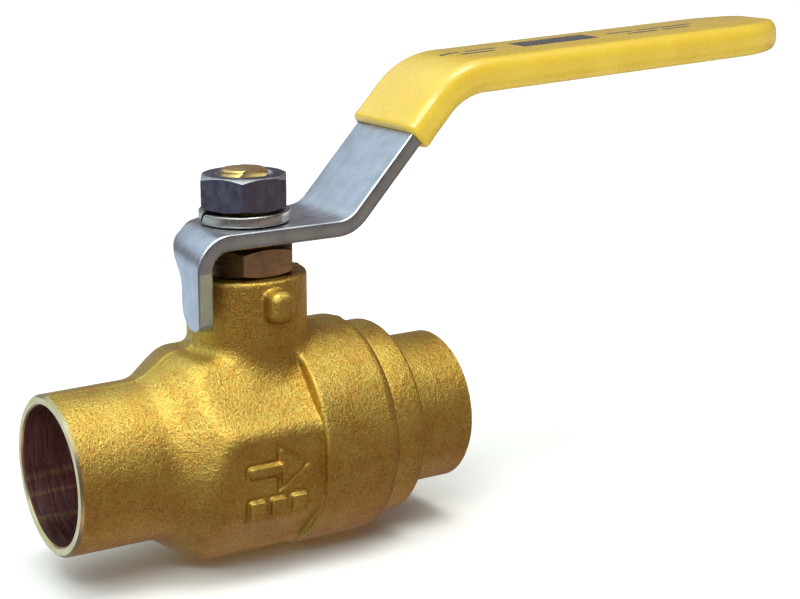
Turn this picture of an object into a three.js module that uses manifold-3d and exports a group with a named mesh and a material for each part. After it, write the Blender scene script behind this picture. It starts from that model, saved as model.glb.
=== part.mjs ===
// Two-piece forged brass ball valve for 3/4 inch copper tube, with solder cups
// at both ends and a quarter-turn lever.
//
// Units are millimetres. X runs along the pipe, from the inlet (-X) to the
// outlet (+X). Z runs up the stem. The origin is where the pipe axis and the
// stem axis cross, which is the centre of the ball. The valve is open: the
// lever lies over the outlet and points along +X.

import * as THREE from 'three';
import { mergeVertices } from 'three/addons/utils/BufferGeometryUtils.js';
import Module from 'manifold-3d';

const wasm = await Module();
wasm.setup();

// ---------------------------------------------------------------- dimensions

const GAP = 0.15; // play between two pieces that are fitted together

// Solder cups: 3/4 inch tube measures 22.2 mm outside
const CUP_RADIUS = 11.15;
const CUP_OUTER_RADIUS = 12.8;
const CUP_DEPTH = 19.05;
const CUP_CHAMFER = 0.3;
const INLET_FACE = -35.1;
const OUTLET_FACE = 36.2;

// Ball and its seats
const BALL_RADIUS = 14.25;
const PORT_RADIUS = 9.5;
const SEAT_INNER_RADIUS = 9.7;
const SEAT_OUTER_RADIUS = 13;
const SEAT_BACK = 12.6; // distance of a seat's back face from the stem axis
const SEAT_NOSE = 8.2;

// Body forging, along X
const FLARE_START = -19.4; // foot of the cone between the inlet cup and the chamber
const FLARE_SLOPE = 0.74;
const CHAMBER_END = 4.3;
const CHAMBER_ACROSS_FLATS = 33.7;
const CHAMBER_CORNER_RADIUS = 2.6;
const CAVITY_RADIUS = 14.75;
const SEAL_RING_LENGTH = 1.2;
const BARREL_RADIUS = 18.4; // round threaded end that takes the tailpiece
const BARREL_END = 18.3;
const BARREL_CORNER = 1.3;
const BARREL_LIP = 0.6; // broken edge on the barrel's chamber side
const THREAD_RADIUS = 16.4;
const THREAD_START = 7.4;
const TAILPIECE_START = 8.9;
const THREAD_LEAD = 0.6; // chamfer that starts a thread
const SHOULDER_RADIUS = 16.6; // ring of the tailpiece that stops against the body
const SHOULDER_END = 24;
const SHOULDER_CORNER = 0.8;
const SHOULDER_FILLET = 1;

// Raised flow arrow and three plain pads on the front flat
const MARK_HEIGHT = 0.5;
const MARK_START = -9;
const ARROW_Z = 0.3;
const ARROW_SHAFT_HALF = 0.8;
const ARROW_HEAD_HALF = 2.4;
const ARROW_HEAD_START = -3.4;
const ARROW_TIP = 0.7;
const PAD_PITCH = 3.7;
const PAD_LENGTH = 2.7;
const PAD_BOTTOM = -7.5;
const PAD_TOP = -4.5;

// Neck and stem, along Z
const NECK_RADIUS = 9.78;
const NECK_TOP = 28.36;
const NECK_CHAMFER = 0.5;
const COLLAR_BORE_RADIUS = 6.4;
const COLLAR_BORE_TOP = 18.2;
const STEM_BORE_RADIUS = 4.75;
const PACKING_BORE_RADIUS = 6.8;
const PACKING_FLOOR = 20.2;
const STEM_RADIUS = 4.6;
const STEM_COLLAR_RADIUS = 6.2;
const STEM_COLLAR_BOTTOM = 14.7;
const STEM_COLLAR_TOP = 17;
const STEM_SHOULDER = 33.6; // the lever sits on this step
const STEM_TOP = 45;
const STEM_CHAMFER = 0.6;
const THREAD_M8_RADIUS = 4;
const FLATS_HALF = 3; // half the distance across the stem's two flats
const TANG_HALF_WIDTH = 2.4;
const TANG_HALF_LENGTH = 5.5;
const TANG_BOTTOM = 11.1;
const SLOT_FLOOR = 10.9;
const SLOT_HALF_LENGTH = 7.5;

// Stop lugs on the neck
const LUG_RADIUS = 2.15;
const LUG_LOW = 24; // centre of the lug's lower round end
const LUG_HIGH = 25;
const LUG_REACH = 13;
const LUG_CHAMFER = 0.8;
const LUG_ROOT = 2; // depth of a lug's root inside the neck

// Packing stack
const PACKING_RING_HEIGHT = 1.05;
const PACKING_STEP = 1.2;
const FOLLOWER_HEIGHT = 1.35;
const GLAND_HEX_ACROSS_FLATS = 15;
const GLAND_HEX_TOP = 33.1;

// Lever: one strip of sheet steel bent three times
const LEVER_WIDTH = 16.9;
const LEVER_THICKNESS = 2.66;
const LEVER_TOP = 36.36;
const LEVER_MIDDLE = LEVER_TOP - LEVER_THICKNESS / 2;
const TAB_FACE = -12.75; // outer face of the stop tab
const TAB_BOTTOM = 21.1;
const TAB_FRONT = -LEVER_WIDTH / 2;
const TAB_BACK = -2.3;
const TAB_TOP = 34.6;
const TAB_SPREAD_START = 29; // above this the tab widens into the plate
const TAB_SPREAD_BACK = 2.6;
const TAB_FRONT_CORNER = 1.6;
const TAB_BACK_CORNER = 3.3;
const TAB_BEND = 4;
const KNEE_X = 15.1; // where the flat plate meets the slope
const KNEE_BEND = 6;
const SHOULDER_X = 35.9; // where the slope meets the hand-hold
const SHOULDER_Z = 57.5;
const SHOULDER_BEND = 13;
const STRIP_END_X = 110;
const STRIP_END_Z = 60.7;
const STRIP_TIP = 9; // length of the strip's rounded end
const PLATE_SIDE_END = -1.5; // the plate's rear edge runs straight from here
const PLATE_CORNER = [-8.2, 6.6];
const PLATE_BACK = [-10.3, 1.7];
const PLATE_FOOT_Y = -2.4;

// Vinyl grip dipped over the lever
const GRIP_WIDTH = 19;
const GRIP_THICKNESS = 5.8;
const GRIP_EDGE = 2;
const GRIP_MOUTH_X = 27.4;
const GRIP_END_X = 112.4;
const GRIP_TIP = 13; // length of the grip's rounded end, seen from above

// Lock washer and nut on the stem thread
const WASHER_OUTER_RADIUS = 7.35;
const WASHER_INNER_RADIUS = 4.3;
const WASHER_BOTTOM = LEVER_TOP + 0.12;
const WASHER_SPLIT_HALF = 0.3;
const WASHER_SPLIT_LEAN = 25;
const WASHER_SPLIT_TURN = 105;
const WASHER_TOP = 38.6;
const NUT_ACROSS_FLATS = 13.4;
const NUT_BOTTOM = 38.75;
const NUT_TOP = 44.2;

const ROUND = 40; // facets round a large turned surface
const ROUND_SMALL = 28;
const ROUND_TINY = 20;
const REACH = 60; // longer than any cut needs
const OVERLAP = 1; // how far joined solids run into each other
const HEX_CHAMFER_SHARE = 0.6; // how far a hexagon's chamfer comes down its corners
const OCTANT = 45;

// ------------------------------------------------------------------- helpers

/** Turns a closed three.js geometry into a solid whose faces point out. */
function solidOf(geometry) {
  const bare = geometry.clone();
  bare.deleteAttribute('normal');
  bare.deleteAttribute('uv');
  const merged = mergeVertices(bare, 1e-4);
  const position = merged.attributes.position;
  const corner = (i) => new THREE.Vector3().fromBufferAttribute(position, i);
  const triangles = [];
  let volume = 0;
  for (let i = 0; i < merged.index.count; i += 3) {
    const [a, b, c] = merged.index.array.slice(i, i + 3);
    if (a !== b && b !== c && c !== a) {
      triangles.push([a, b, c]);
      volume += corner(a).dot(corner(b).cross(corner(c)));
    }
  }
  const outward = volume > 0 ? triangles : triangles.map(([a, b, c]) => [a, c, b]);
  return new wasm.Manifold(new wasm.Mesh({
    numProp: 3,
    vertProperties: new Float32Array(position.array),
    triVerts: new Uint32Array(outward.flat()),
  }));
}

/**
 * Solid turned about the 'x', 'y' or 'z' axis. The profile is a list of
 * [position along the axis, radius]. It starts and ends on the axis, or it is
 * the closed section of a ring.
 */
function turned(axis, profile, segments = ROUND) {
  const points = profile.map(([along, radius]) => new THREE.Vector2(radius, along));
  if (profile[0][1] > 0) {
    points.push(points[0].clone());
  }
  const geometry = new THREE.LatheGeometry(points, segments);
  if (axis === 'x') {
    geometry.rotateZ(-Math.PI / 2);
  }
  if (axis === 'z') {
    geometry.rotateX(Math.PI / 2);
  }
  return solidOf(geometry);
}

/** Plain ring about an axis. */
function ring(axis, low, high, inner, outer, segments = ROUND_SMALL) {
  return turned(axis, [[low, inner], [high, inner], [high, outer], [low, outer]], segments);
}

/** Prism along X from an outline in (y, z). */
function prismX(outline, low, high) {
  const geometry = new THREE.ExtrudeGeometry(outline, { depth: high - low, bevelEnabled: false });
  const place = new THREE.Matrix4().makeBasis(
    new THREE.Vector3(0, 1, 0),
    new THREE.Vector3(0, 0, 1),
    new THREE.Vector3(1, 0, 0),
  );
  geometry.applyMatrix4(place.setPosition(low, 0, 0));
  return solidOf(geometry);
}

/** Prism along Y from an outline in (x, z), with rounded long edges if edge > 0. */
function prismY(outline, halfWidth, edge = 0) {
  const geometry = new THREE.ExtrudeGeometry(outline, {
    depth: 2 * (halfWidth - edge),
    bevelEnabled: edge > 0,
    bevelThickness: edge,
    bevelSize: edge,
    bevelOffset: -edge,
    bevelSegments: 3,
  });
  const place = new THREE.Matrix4().makeBasis(
    new THREE.Vector3(1, 0, 0),
    new THREE.Vector3(0, 0, 1),
    new THREE.Vector3(0, -1, 0),
  );
  geometry.applyMatrix4(place.setPosition(0, halfWidth - edge, 0));
  return solidOf(geometry);
}

/** Prism along Z from an outline in (x, y). */
function prismZ(outline, low, high) {
  const geometry = new THREE.ExtrudeGeometry(outline, { depth: high - low, bevelEnabled: false });
  geometry.translate(0, 0, low);
  return solidOf(geometry);
}

/** Box from its lowest and highest corners. */
function box(low, high) {
  const size = high.map((value, i) => value - low[i]);
  const geometry = new THREE.BoxGeometry(...size);
  geometry.translate(...high.map((value, i) => (value + low[i]) / 2));
  return solidOf(geometry);
}

/** Points of an arc, in (u, v), from one angle in degrees to another. */
function arc(centreU, centreV, radius, from, to, steps) {
  const points = [];
  for (let i = 0; i <= steps; i += 1) {
    const angle = THREE.MathUtils.degToRad(from + ((to - from) * i) / steps);
    points.push([centreU + radius * Math.cos(angle), centreV + radius * Math.sin(angle)]);
  }
  return points;
}

/** Shape from a list of [u, v] points. */
function outlineOf(points) {
  return new THREE.Shape(points.map(([u, v]) => new THREE.Vector2(u, v)));
}

/** Open polyline whose inner corners are replaced by arcs: corners are [u, v, radius]. */
function filleted(corners, steps = 5) {
  const points = [];
  corners.forEach(([u, v, radius], i) => {
    const here = new THREE.Vector2(u, v);
    if (!radius) {
      points.push(here);
      return;
    }
    const before = new THREE.Vector2(...corners[i - 1].slice(0, 2)).sub(here).normalize();
    const after = new THREE.Vector2(...corners[i + 1].slice(0, 2)).sub(here).normalize();
    const half = Math.acos(before.dot(after)) / 2;
    const centre = before.clone().add(after).normalize();
    centre.multiplyScalar(radius / Math.sin(half)).add(here);
    const start = here.clone().addScaledVector(before, radius / Math.tan(half)).sub(centre);
    const sweep = Math.PI - 2 * half;
    const turn = Math.sign(before.cross(start));
    for (let k = 0; k <= steps; k += 1) {
      points.push(start.clone().rotateAround(new THREE.Vector2(), (turn * sweep * k) / steps).add(centre));
    }
  });
  return points;
}

/** Both sides of a strip that follows a centre line, offset along its normals. */
function stripSides(centreLine, half) {
  const left = [];
  const right = [];
  centreLine.forEach((point, i) => {
    const from = centreLine[Math.max(i - 1, 0)];
    const to = centreLine[Math.min(i + 1, centreLine.length - 1)];
    const along = to.clone().sub(from).normalize();
    const normal = new THREE.Vector2(-along.y, along.x);
    left.push(point.clone().addScaledVector(normal, half));
    right.push(point.clone().addScaledVector(normal, -half));
  });
  return { left, right };
}

/** Hexagonal prism along Z with a corner on the X axis and turned-off corners. */
function hexagon(acrossFlats, low, high, chamferLow, chamferHigh) {
  const cornerRadius = acrossFlats / Math.sqrt(3);
  const corners = arc(0, 0, cornerRadius, 0, 300, 5);
  const inner = acrossFlats / 2;
  const rise = (cornerRadius - inner) * HEX_CHAMFER_SHARE;
  const envelope = turned('z', [
    [low, 0],
    [low, chamferLow ? inner : cornerRadius + OVERLAP],
    [chamferLow ? low + rise : low, cornerRadius + GAP],
    [chamferHigh ? high - rise : high, cornerRadius + GAP],
    [high, chamferHigh ? inner : cornerRadius + OVERLAP],
    [high, 0],
  ]);
  return prismZ(outlineOf(corners), low, high).intersect(envelope);
}

/** Named mesh with its own material. */
function part(name, solid, finish) {
  const { vertProperties, triVerts } = solid.getMesh();
  const geometry = new THREE.BufferGeometry();
  geometry.setAttribute('position', new THREE.BufferAttribute(vertProperties, 3));
  geometry.setIndex(new THREE.BufferAttribute(triVerts, 1));
  geometry.computeVertexNormals();
  const mesh = new THREE.Mesh(geometry, new THREE.MeshStandardMaterial(finish));
  mesh.name = name;
  return mesh;
}

// ------------------------------------------------------------------ finishes

const FORGED_BRASS = { color: 0xb38a35, roughness: 0.5, metalness: 0.9 };
const TURNED_BRASS = { color: 0xc79a3c, roughness: 0.3, metalness: 1 };
const CHROME_PLATE = { color: 0xd8dadd, roughness: 0.08, metalness: 1 };
const ZINC_STEEL = { color: 0xb4bccb, roughness: 0.32, metalness: 0.9 };
const DARK_STEEL = { color: 0x6c6e78, roughness: 0.35, metalness: 0.9 };
const PTFE = { color: 0xf0efe8, roughness: 0.55, metalness: 0 };
const YELLOW_VINYL = { color: 0xf2cf3e, roughness: 0.25, metalness: 0 };

// -------------------------------------------------------------- body castings

/** Eight-sided outline of the chamber, with flats facing Y and Z. */
function chamberOutline() {
  const apothem = CHAMBER_ACROSS_FLATS / 2;
  const radius = CHAMBER_CORNER_RADIUS;
  const centreRadius = (apothem - radius) / Math.cos(Math.PI / 8);
  const points = [];
  for (let i = 0; i < 8; i += 1) {
    const middle = OCTANT * (i + 0.5);
    const angle = THREE.MathUtils.degToRad(middle);
    const centre = [centreRadius * Math.cos(angle), centreRadius * Math.sin(angle)];
    points.push(...arc(...centre, radius, middle - OCTANT / 2, middle + OCTANT / 2, 3));
  }
  return outlineOf(points);
}

/** Outside of the inlet cup. */
function inletShell() {
  return turned('x', [
    [INLET_FACE, 0],
    [INLET_FACE, CUP_OUTER_RADIUS - CUP_CHAMFER],
    [INLET_FACE + CUP_CHAMFER, CUP_OUTER_RADIUS],
    [FLARE_START + OVERLAP, CUP_OUTER_RADIUS],
    [FLARE_START + OVERLAP, 0],
  ]);
}

/** Eight-sided chamber, whose inlet end is a cone that widens from the cup. */
function chamberShell() {
  const widest = BARREL_RADIUS + OVERLAP;
  const cone = turned('x', [
    [FLARE_START, 0],
    [FLARE_START, CUP_OUTER_RADIUS],
    [FLARE_START + (widest - CUP_OUTER_RADIUS) / FLARE_SLOPE, widest],
    [CHAMBER_END + OVERLAP, widest],
    [CHAMBER_END + OVERLAP, 0],
  ]);
  return prismX(chamberOutline(), FLARE_START, CHAMBER_END + OVERLAP).intersect(cone);
}

/** Round end of the body that the tailpiece screws into. */
function barrelShell() {
  const corner = BARREL_CORNER;
  return turned('x', [
    [CHAMBER_END, 0],
    [CHAMBER_END, BARREL_RADIUS - BARREL_LIP],
    [CHAMBER_END + BARREL_LIP, BARREL_RADIUS],
    ...arc(BARREL_END - corner, BARREL_RADIUS - corner, corner, 90, 0, 3),
    [BARREL_END, 0],
  ]);
}

/** Stop lug on one side of the neck, a little taller than it is wide. */
function stopLug(side) {
  const round = turned('y', [
    [side * (NECK_RADIUS - LUG_ROOT), 0],
    [side * (NECK_RADIUS - LUG_ROOT), LUG_RADIUS],
    [side * (LUG_REACH - LUG_CHAMFER), LUG_RADIUS],
    [side * LUG_REACH, LUG_RADIUS - LUG_CHAMFER],
    [side * LUG_REACH, 0],
  ], ROUND_TINY);
  return wasm.Manifold.hull([round.translate([0, 0, LUG_LOW]), round.translate([0, 0, LUG_HIGH])]);
}

/** Neck that the stem comes up through, and its two stop lugs. */
function neckShell() {
  const neck = turned('z', [
    [0, 0],
    [0, NECK_RADIUS],
    [NECK_TOP - NECK_CHAMFER, NECK_RADIUS],
    [NECK_TOP, NECK_RADIUS - NECK_CHAMFER],
    [NECK_TOP, 0],
  ]);
  return neck.add(stopLug(1)).add(stopLug(-1));
}

/** Raised flow arrow and pads on the front flat of the chamber. */
function raisedMarks() {
  const arrow = outlineOf([
    [MARK_START, ARROW_Z - ARROW_SHAFT_HALF],
    [ARROW_HEAD_START, ARROW_Z - ARROW_SHAFT_HALF],
    [ARROW_HEAD_START, ARROW_Z - ARROW_HEAD_HALF],
    [ARROW_TIP, ARROW_Z],
    [ARROW_HEAD_START, ARROW_Z + ARROW_HEAD_HALF],
    [ARROW_HEAD_START, ARROW_Z + ARROW_SHAFT_HALF],
    [MARK_START, ARROW_Z + ARROW_SHAFT_HALF],
  ]);
  const flat = CHAMBER_ACROSS_FLATS / 2;
  const marks = [0, 1, 2].map((i) => {
    const start = MARK_START + i * PAD_PITCH;
    return box(
      [start, -flat - MARK_HEIGHT, PAD_BOTTOM],
      [start + PAD_LENGTH, OVERLAP - flat, PAD_TOP],
    );
  });
  const slab = box([-REACH, -flat - MARK_HEIGHT, -REACH], [REACH, OVERLAP - flat, REACH]);
  return marks.reduce((whole, mark) => whole.add(mark), prismY(arrow, REACH).intersect(slab));
}

/** Space for the tube, port, seat, ball and tailpiece thread. */
function pipeBore() {
  const cupFloor = INLET_FACE + CUP_DEPTH;
  return turned('x', [
    [INLET_FACE - OVERLAP, 0],
    [INLET_FACE - OVERLAP, CUP_RADIUS + CUP_CHAMFER],
    [INLET_FACE, CUP_RADIUS + CUP_CHAMFER],
    [INLET_FACE + CUP_CHAMFER, CUP_RADIUS],
    [cupFloor, CUP_RADIUS],
    [cupFloor, PORT_RADIUS],
    [-SEAT_BACK - GAP, PORT_RADIUS],
    [-SEAT_BACK - GAP, SEAT_OUTER_RADIUS + GAP],
    [-SEAT_NOSE, SEAT_OUTER_RADIUS + GAP],
    [-SEAT_NOSE, CAVITY_RADIUS],
    [THREAD_START, CAVITY_RADIUS],
    [THREAD_START, THREAD_RADIUS],
    [BARREL_END + OVERLAP, THREAD_RADIUS],
    [BARREL_END + OVERLAP, 0],
  ]);
}

/** Stepped bore of the neck: collar, stem and packing. */
function neckBore() {
  return turned('z', [
    [0, 0],
    [0, COLLAR_BORE_RADIUS],
    [COLLAR_BORE_TOP, COLLAR_BORE_RADIUS],
    [COLLAR_BORE_TOP, STEM_BORE_RADIUS],
    [PACKING_FLOOR, STEM_BORE_RADIUS],
    [PACKING_FLOOR, PACKING_BORE_RADIUS],
    [NECK_TOP + OVERLAP, PACKING_BORE_RADIUS],
    [NECK_TOP + OVERLAP, 0],
  ], ROUND_SMALL);
}

function valveBody() {
  return inletShell()
    .add(chamberShell())
    .add(barrelShell())
    .add(neckShell())
    .add(raisedMarks())
    .subtract(pipeBore())
    .subtract(neckBore());
}

/** Screwed-in end piece: thread, shoulder ring and outlet cup. */
function tailpiece() {
  const start = TAILPIECE_START;
  const radius = THREAD_RADIUS - GAP;
  const edge = SHOULDER_CORNER;
  const sweep = SHOULDER_FILLET;
  return turned('x', [
    [start, SEAT_OUTER_RADIUS + GAP],
    [SEAT_BACK + GAP, SEAT_OUTER_RADIUS + GAP],
    [SEAT_BACK + GAP, PORT_RADIUS],
    [OUTLET_FACE - CUP_DEPTH, PORT_RADIUS],
    [OUTLET_FACE - CUP_DEPTH, CUP_RADIUS],
    [OUTLET_FACE - CUP_CHAMFER, CUP_RADIUS],
    [OUTLET_FACE, CUP_RADIUS + CUP_CHAMFER],
    [OUTLET_FACE, CUP_OUTER_RADIUS - CUP_CHAMFER],
    [OUTLET_FACE - CUP_CHAMFER, CUP_OUTER_RADIUS],
    ...arc(SHOULDER_END + sweep, CUP_OUTER_RADIUS + sweep, sweep, -90, -180, 3),
    ...arc(SHOULDER_END - edge, SHOULDER_RADIUS - edge, edge, 0, 90, 3),
    [BARREL_END + GAP, SHOULDER_RADIUS],
    [BARREL_END + GAP, radius],
    [start + THREAD_LEAD, radius],
    [start, radius - THREAD_LEAD],
  ]);
}

// ----------------------------------------------------------------- flow parts

/** Ball with its through port and the slot for the stem's tang. */
function ball() {
  const portEdge = THREE.MathUtils.radToDeg(Math.asin(PORT_RADIUS / BALL_RADIUS));
  const sphere = turned('x', arc(0, 0, BALL_RADIUS, portEdge, 180 - portEdge, 10));
  const halfWidth = TANG_HALF_WIDTH + GAP;
  const slot = box([-halfWidth, -SLOT_HALF_LENGTH, SLOT_FLOOR], [halfWidth, SLOT_HALF_LENGTH, REACH]);
  return sphere.subtract(slot);
}

/** Seat ring with a spherical face; side is -1 at the inlet and 1 at the outlet. */
function seat(side) {
  const faceRadius = BALL_RADIUS + GAP;
  const faceStart = THREE.MathUtils.radToDeg(Math.acos(SEAT_NOSE / faceRadius));
  const faceEnd = THREE.MathUtils.radToDeg(Math.asin(SEAT_INNER_RADIUS / faceRadius));
  const profile = [
    [SEAT_BACK, SEAT_INNER_RADIUS],
    [SEAT_BACK, SEAT_OUTER_RADIUS],
    [SEAT_NOSE + GAP, SEAT_OUTER_RADIUS],
    ...arc(0, 0, faceRadius, faceStart, faceEnd, 3),
  ];
  return turned('x', profile.map(([along, radius]) => [side * along, radius]), ROUND);
}

// ----------------------------------------------------------------- stem parts

/** Blow-out-proof stem: tang, collar, shaft and two flats up the thread. */
function stem() {
  const shaft = turned('z', [
    [STEM_COLLAR_BOTTOM, 0],
    [STEM_COLLAR_BOTTOM, STEM_COLLAR_RADIUS],
    [STEM_COLLAR_TOP, STEM_COLLAR_RADIUS],
    [STEM_COLLAR_TOP, STEM_RADIUS],
    [STEM_SHOULDER, STEM_RADIUS],
    [STEM_SHOULDER, THREAD_M8_RADIUS],
    [STEM_TOP - STEM_CHAMFER, THREAD_M8_RADIUS],
    [STEM_TOP, THREAD_M8_RADIUS - STEM_CHAMFER],
    [STEM_TOP, 0],
  ], ROUND_SMALL);
  const tang = box(
    [-TANG_HALF_WIDTH, -TANG_HALF_LENGTH, TANG_BOTTOM],
    [TANG_HALF_WIDTH, TANG_HALF_LENGTH, STEM_COLLAR_BOTTOM + OVERLAP],
  );
  const cut = box([-REACH, FLATS_HALF, STEM_SHOULDER], [REACH, REACH, REACH]);
  return shaft.add(tang).subtract(cut).subtract(cut.mirror([0, 1, 0]));
}

/** Gland nut: hexagon above the neck and a threaded skirt that loads the packing. */
function packingNut(skirtBottom) {
  const skirtTop = NECK_TOP + GAP;
  return hexagon(GLAND_HEX_ACROSS_FLATS, skirtTop, GLAND_HEX_TOP, false, true)
    .add(turned('z', [
      [skirtBottom, 0],
      [skirtBottom, PACKING_BORE_RADIUS - GAP],
      [skirtTop + OVERLAP, PACKING_BORE_RADIUS - GAP],
      [skirtTop + OVERLAP, 0],
    ], ROUND_SMALL))
    .subtract(turned('z', [
      [0, 0],
      [0, STEM_BORE_RADIUS],
      [REACH, STEM_BORE_RADIUS],
      [REACH, 0],
    ], ROUND_SMALL));
}

/** Spring lock washer with its slanted split. */
function lockWasher() {
  const split = box([-WASHER_SPLIT_HALF, 0, -REACH], [WASHER_SPLIT_HALF, REACH, REACH])
    .rotate([0, WASHER_SPLIT_LEAN, 0])
    .translate([0, 0, (WASHER_BOTTOM + WASHER_TOP) / 2])
    .rotate([0, 0, WASHER_SPLIT_TURN]);
  const whole = ring('z', WASHER_BOTTOM, WASHER_TOP, WASHER_INNER_RADIUS, WASHER_OUTER_RADIUS, ROUND);
  return whole.subtract(split);
}

function handleNut() {
  const bore = turned('z', [
    [0, 0],
    [0, THREAD_M8_RADIUS + GAP],
    [REACH, THREAD_M8_RADIUS + GAP],
    [REACH, 0],
  ], ROUND_SMALL);
  return hexagon(NUT_ACROSS_FLATS, NUT_BOTTOM, NUT_TOP, true, true).subtract(bore);
}

// --------------------------------------------------------------------- handle

/** Centre line of the strip in (x, z), from the tab's foot to the far end. */
function leverCentreLine() {
  const tabX = TAB_FACE + LEVER_THICKNESS / 2;
  return filleted([
    [tabX, TAB_BOTTOM],
    [tabX, LEVER_MIDDLE, TAB_BEND],
    [KNEE_X, LEVER_MIDDLE, KNEE_BEND],
    [SHOULDER_X, SHOULDER_Z, SHOULDER_BEND],
    [STRIP_END_X, STRIP_END_Z],
  ]);
}

/** Strip seen from above: square front edge, rounded rear corner and round far end. */
function leverPlan(clearance) {
  const half = LEVER_WIDTH / 2 + clearance;
  const tipStart = STRIP_END_X - STRIP_TIP;
  const plan = new THREE.Shape();
  plan.moveTo(TAB_FACE - OVERLAP, -half);
  plan.lineTo(tipStart, -half);
  plan.absellipse(tipStart, 0, STRIP_TIP + clearance, half, -Math.PI / 2, Math.PI / 2, false, 0);
  plan.lineTo(PLATE_SIDE_END, half);
  plan.quadraticCurveTo(...PLATE_CORNER, ...PLATE_BACK);
  plan.lineTo(TAB_FACE - OVERLAP, PLATE_FOOT_Y);
  return new THREE.Shape(plan.getPoints(6));
}

/** What the press trims off beside and below the stop tab. */
function tabTrim() {
  const front = TAB_FRONT_CORNER;
  const back = TAB_BACK_CORNER;
  const keep = new THREE.Shape();
  keep.moveTo(TAB_FRONT, TAB_BOTTOM + front);
  keep.quadraticCurveTo(TAB_FRONT, TAB_BOTTOM, TAB_FRONT + front, TAB_BOTTOM);
  keep.lineTo(TAB_BACK - back, TAB_BOTTOM);
  keep.quadraticCurveTo(TAB_BACK, TAB_BOTTOM, TAB_BACK, TAB_BOTTOM + back);
  keep.lineTo(TAB_BACK, TAB_SPREAD_START);
  keep.quadraticCurveTo(TAB_BACK, TAB_SPREAD_START + TAB_BEND, TAB_SPREAD_BACK, TAB_TOP);
  keep.lineTo(TAB_FRONT, TAB_TOP);
  const start = TAB_FACE - OVERLAP;
  const end = TAB_FACE + LEVER_THICKNESS + GAP;
  const blank = box([start, -LEVER_WIDTH, TAB_BOTTOM - OVERLAP], [end, LEVER_WIDTH, TAB_TOP]);
  return blank.subtract(prismX(new THREE.Shape(keep.getPoints(4)), start - OVERLAP, end + OVERLAP));
}

/** Lever with its double-D hole for the stem. */
function leverHandle() {
  const { left, right } = stripSides(leverCentreLine(), LEVER_THICKNESS / 2);
  const strip = prismY(new THREE.Shape([...right, ...left.reverse()]), LEVER_WIDTH);
  const hole = turned('z', [
    [STEM_SHOULDER - OVERLAP, 0],
    [STEM_SHOULDER - OVERLAP, THREAD_M8_RADIUS + GAP],
    [LEVER_TOP + OVERLAP, THREAD_M8_RADIUS + GAP],
    [LEVER_TOP + OVERLAP, 0],
  ], ROUND_SMALL);
  const flats = box([-REACH, -FLATS_HALF - GAP, 0], [REACH, FLATS_HALF + GAP, REACH]);
  return strip
    .intersect(prismZ(leverPlan(0), 0, REACH * 2))
    .subtract(tabTrim())
    .subtract(hole.intersect(flats));
}

/** Sleeve seen from the side: it follows the strip and ends in a half round. */
function gripSide(line) {
  const half = GRIP_THICKNESS / 2;
  const rise = (SHOULDER_Z - LEVER_MIDDLE) / (SHOULDER_X - KNEE_X);
  const mouth = new THREE.Vector2(GRIP_MOUTH_X, LEVER_MIDDLE + (GRIP_MOUTH_X - KNEE_X) * rise);
  const held = line.filter((point) => point.x > GRIP_MOUTH_X + OVERLAP);
  const end = held.pop();
  const last = new THREE.Vector2(GRIP_END_X - half, end.y + GAP);
  const { left, right } = stripSides([mouth, ...held, last], half);
  const tilt = THREE.MathUtils.radToDeg(Math.atan2(end.y - SHOULDER_Z, end.x - SHOULDER_X));
  const tip = arc(last.x, last.y, half, tilt - 90, tilt + 90, 8).slice(1, -1);
  return new THREE.Shape([...right, ...tip.map(([x, z]) => new THREE.Vector2(x, z)), ...left.reverse()]);
}

/** Sleeve seen from above: straight sides and a rounded end. */
function gripPlan() {
  const half = GRIP_WIDTH / 2;
  const tipStart = GRIP_END_X - GRIP_TIP;
  const plan = new THREE.Shape();
  plan.moveTo(0, -half - OVERLAP);
  plan.lineTo(SHOULDER_X, -half - OVERLAP);
  plan.lineTo(SHOULDER_X, -half);
  plan.lineTo(tipStart, -half);
  plan.absellipse(tipStart, 0, GRIP_TIP, half, -Math.PI / 2, Math.PI / 2, false, 0);
  plan.lineTo(SHOULDER_X, half);
  plan.lineTo(SHOULDER_X, half + OVERLAP);
  plan.lineTo(0, half + OVERLAP);
  return new THREE.Shape(plan.getPoints(7));
}

/** Vinyl sleeve: closed round end, open mouth on the slope. */
function handleGrip() {
  const line = leverCentreLine();
  const inner = stripSides(line, LEVER_THICKNESS / 2 + GAP);
  const room = prismY(new THREE.Shape([...inner.right, ...inner.left.reverse()]), LEVER_WIDTH)
    .intersect(prismZ(leverPlan(GAP), 0, REACH * 2));
  return prismY(gripSide(line), GRIP_WIDTH / 2, GRIP_EDGE)
    .intersect(prismZ(gripPlan(), 0, REACH * 2))
    .subtract(room);
}

// ------------------------------------------------------------------- assembly

const packingHeights = [0, 1, 2].map((i) => PACKING_FLOOR + GAP + i * PACKING_STEP);
const followerBottom = packingHeights[2] + PACKING_STEP;
const skirtBottom = followerBottom + FOLLOWER_HEIGHT + GAP;
const packingOuter = PACKING_BORE_RADIUS - GAP;
const sealStart = THREAD_START + GAP;
const packingNames = ['packing_ring_lower', 'packing_ring_middle', 'packing_ring_upper'];

const housing = new THREE.Group();
housing.add(
  part('valve_body', valveBody(), FORGED_BRASS),
  part('tailpiece', tailpiece(), FORGED_BRASS),
  part('body_seal_ring', ring(
    'x', sealStart, sealStart + SEAL_RING_LENGTH, CAVITY_RADIUS + GAP, THREAD_RADIUS - GAP, ROUND,
  ), PTFE),
  part('seat_inlet', seat(-1), PTFE),
  part('seat_outlet', seat(1), PTFE),
  ...packingHeights.map((height, i) => part(
    packingNames[i],
    ring('z', height, height + PACKING_RING_HEIGHT, STEM_BORE_RADIUS, packingOuter),
    PTFE,
  )),
  part('packing_follower', ring(
    'z', followerBottom, followerBottom + FOLLOWER_HEIGHT, STEM_BORE_RADIUS, packingOuter,
  ), TURNED_BRASS),
  part('packing_nut', packingNut(skirtBottom), TURNED_BRASS),
);

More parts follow.
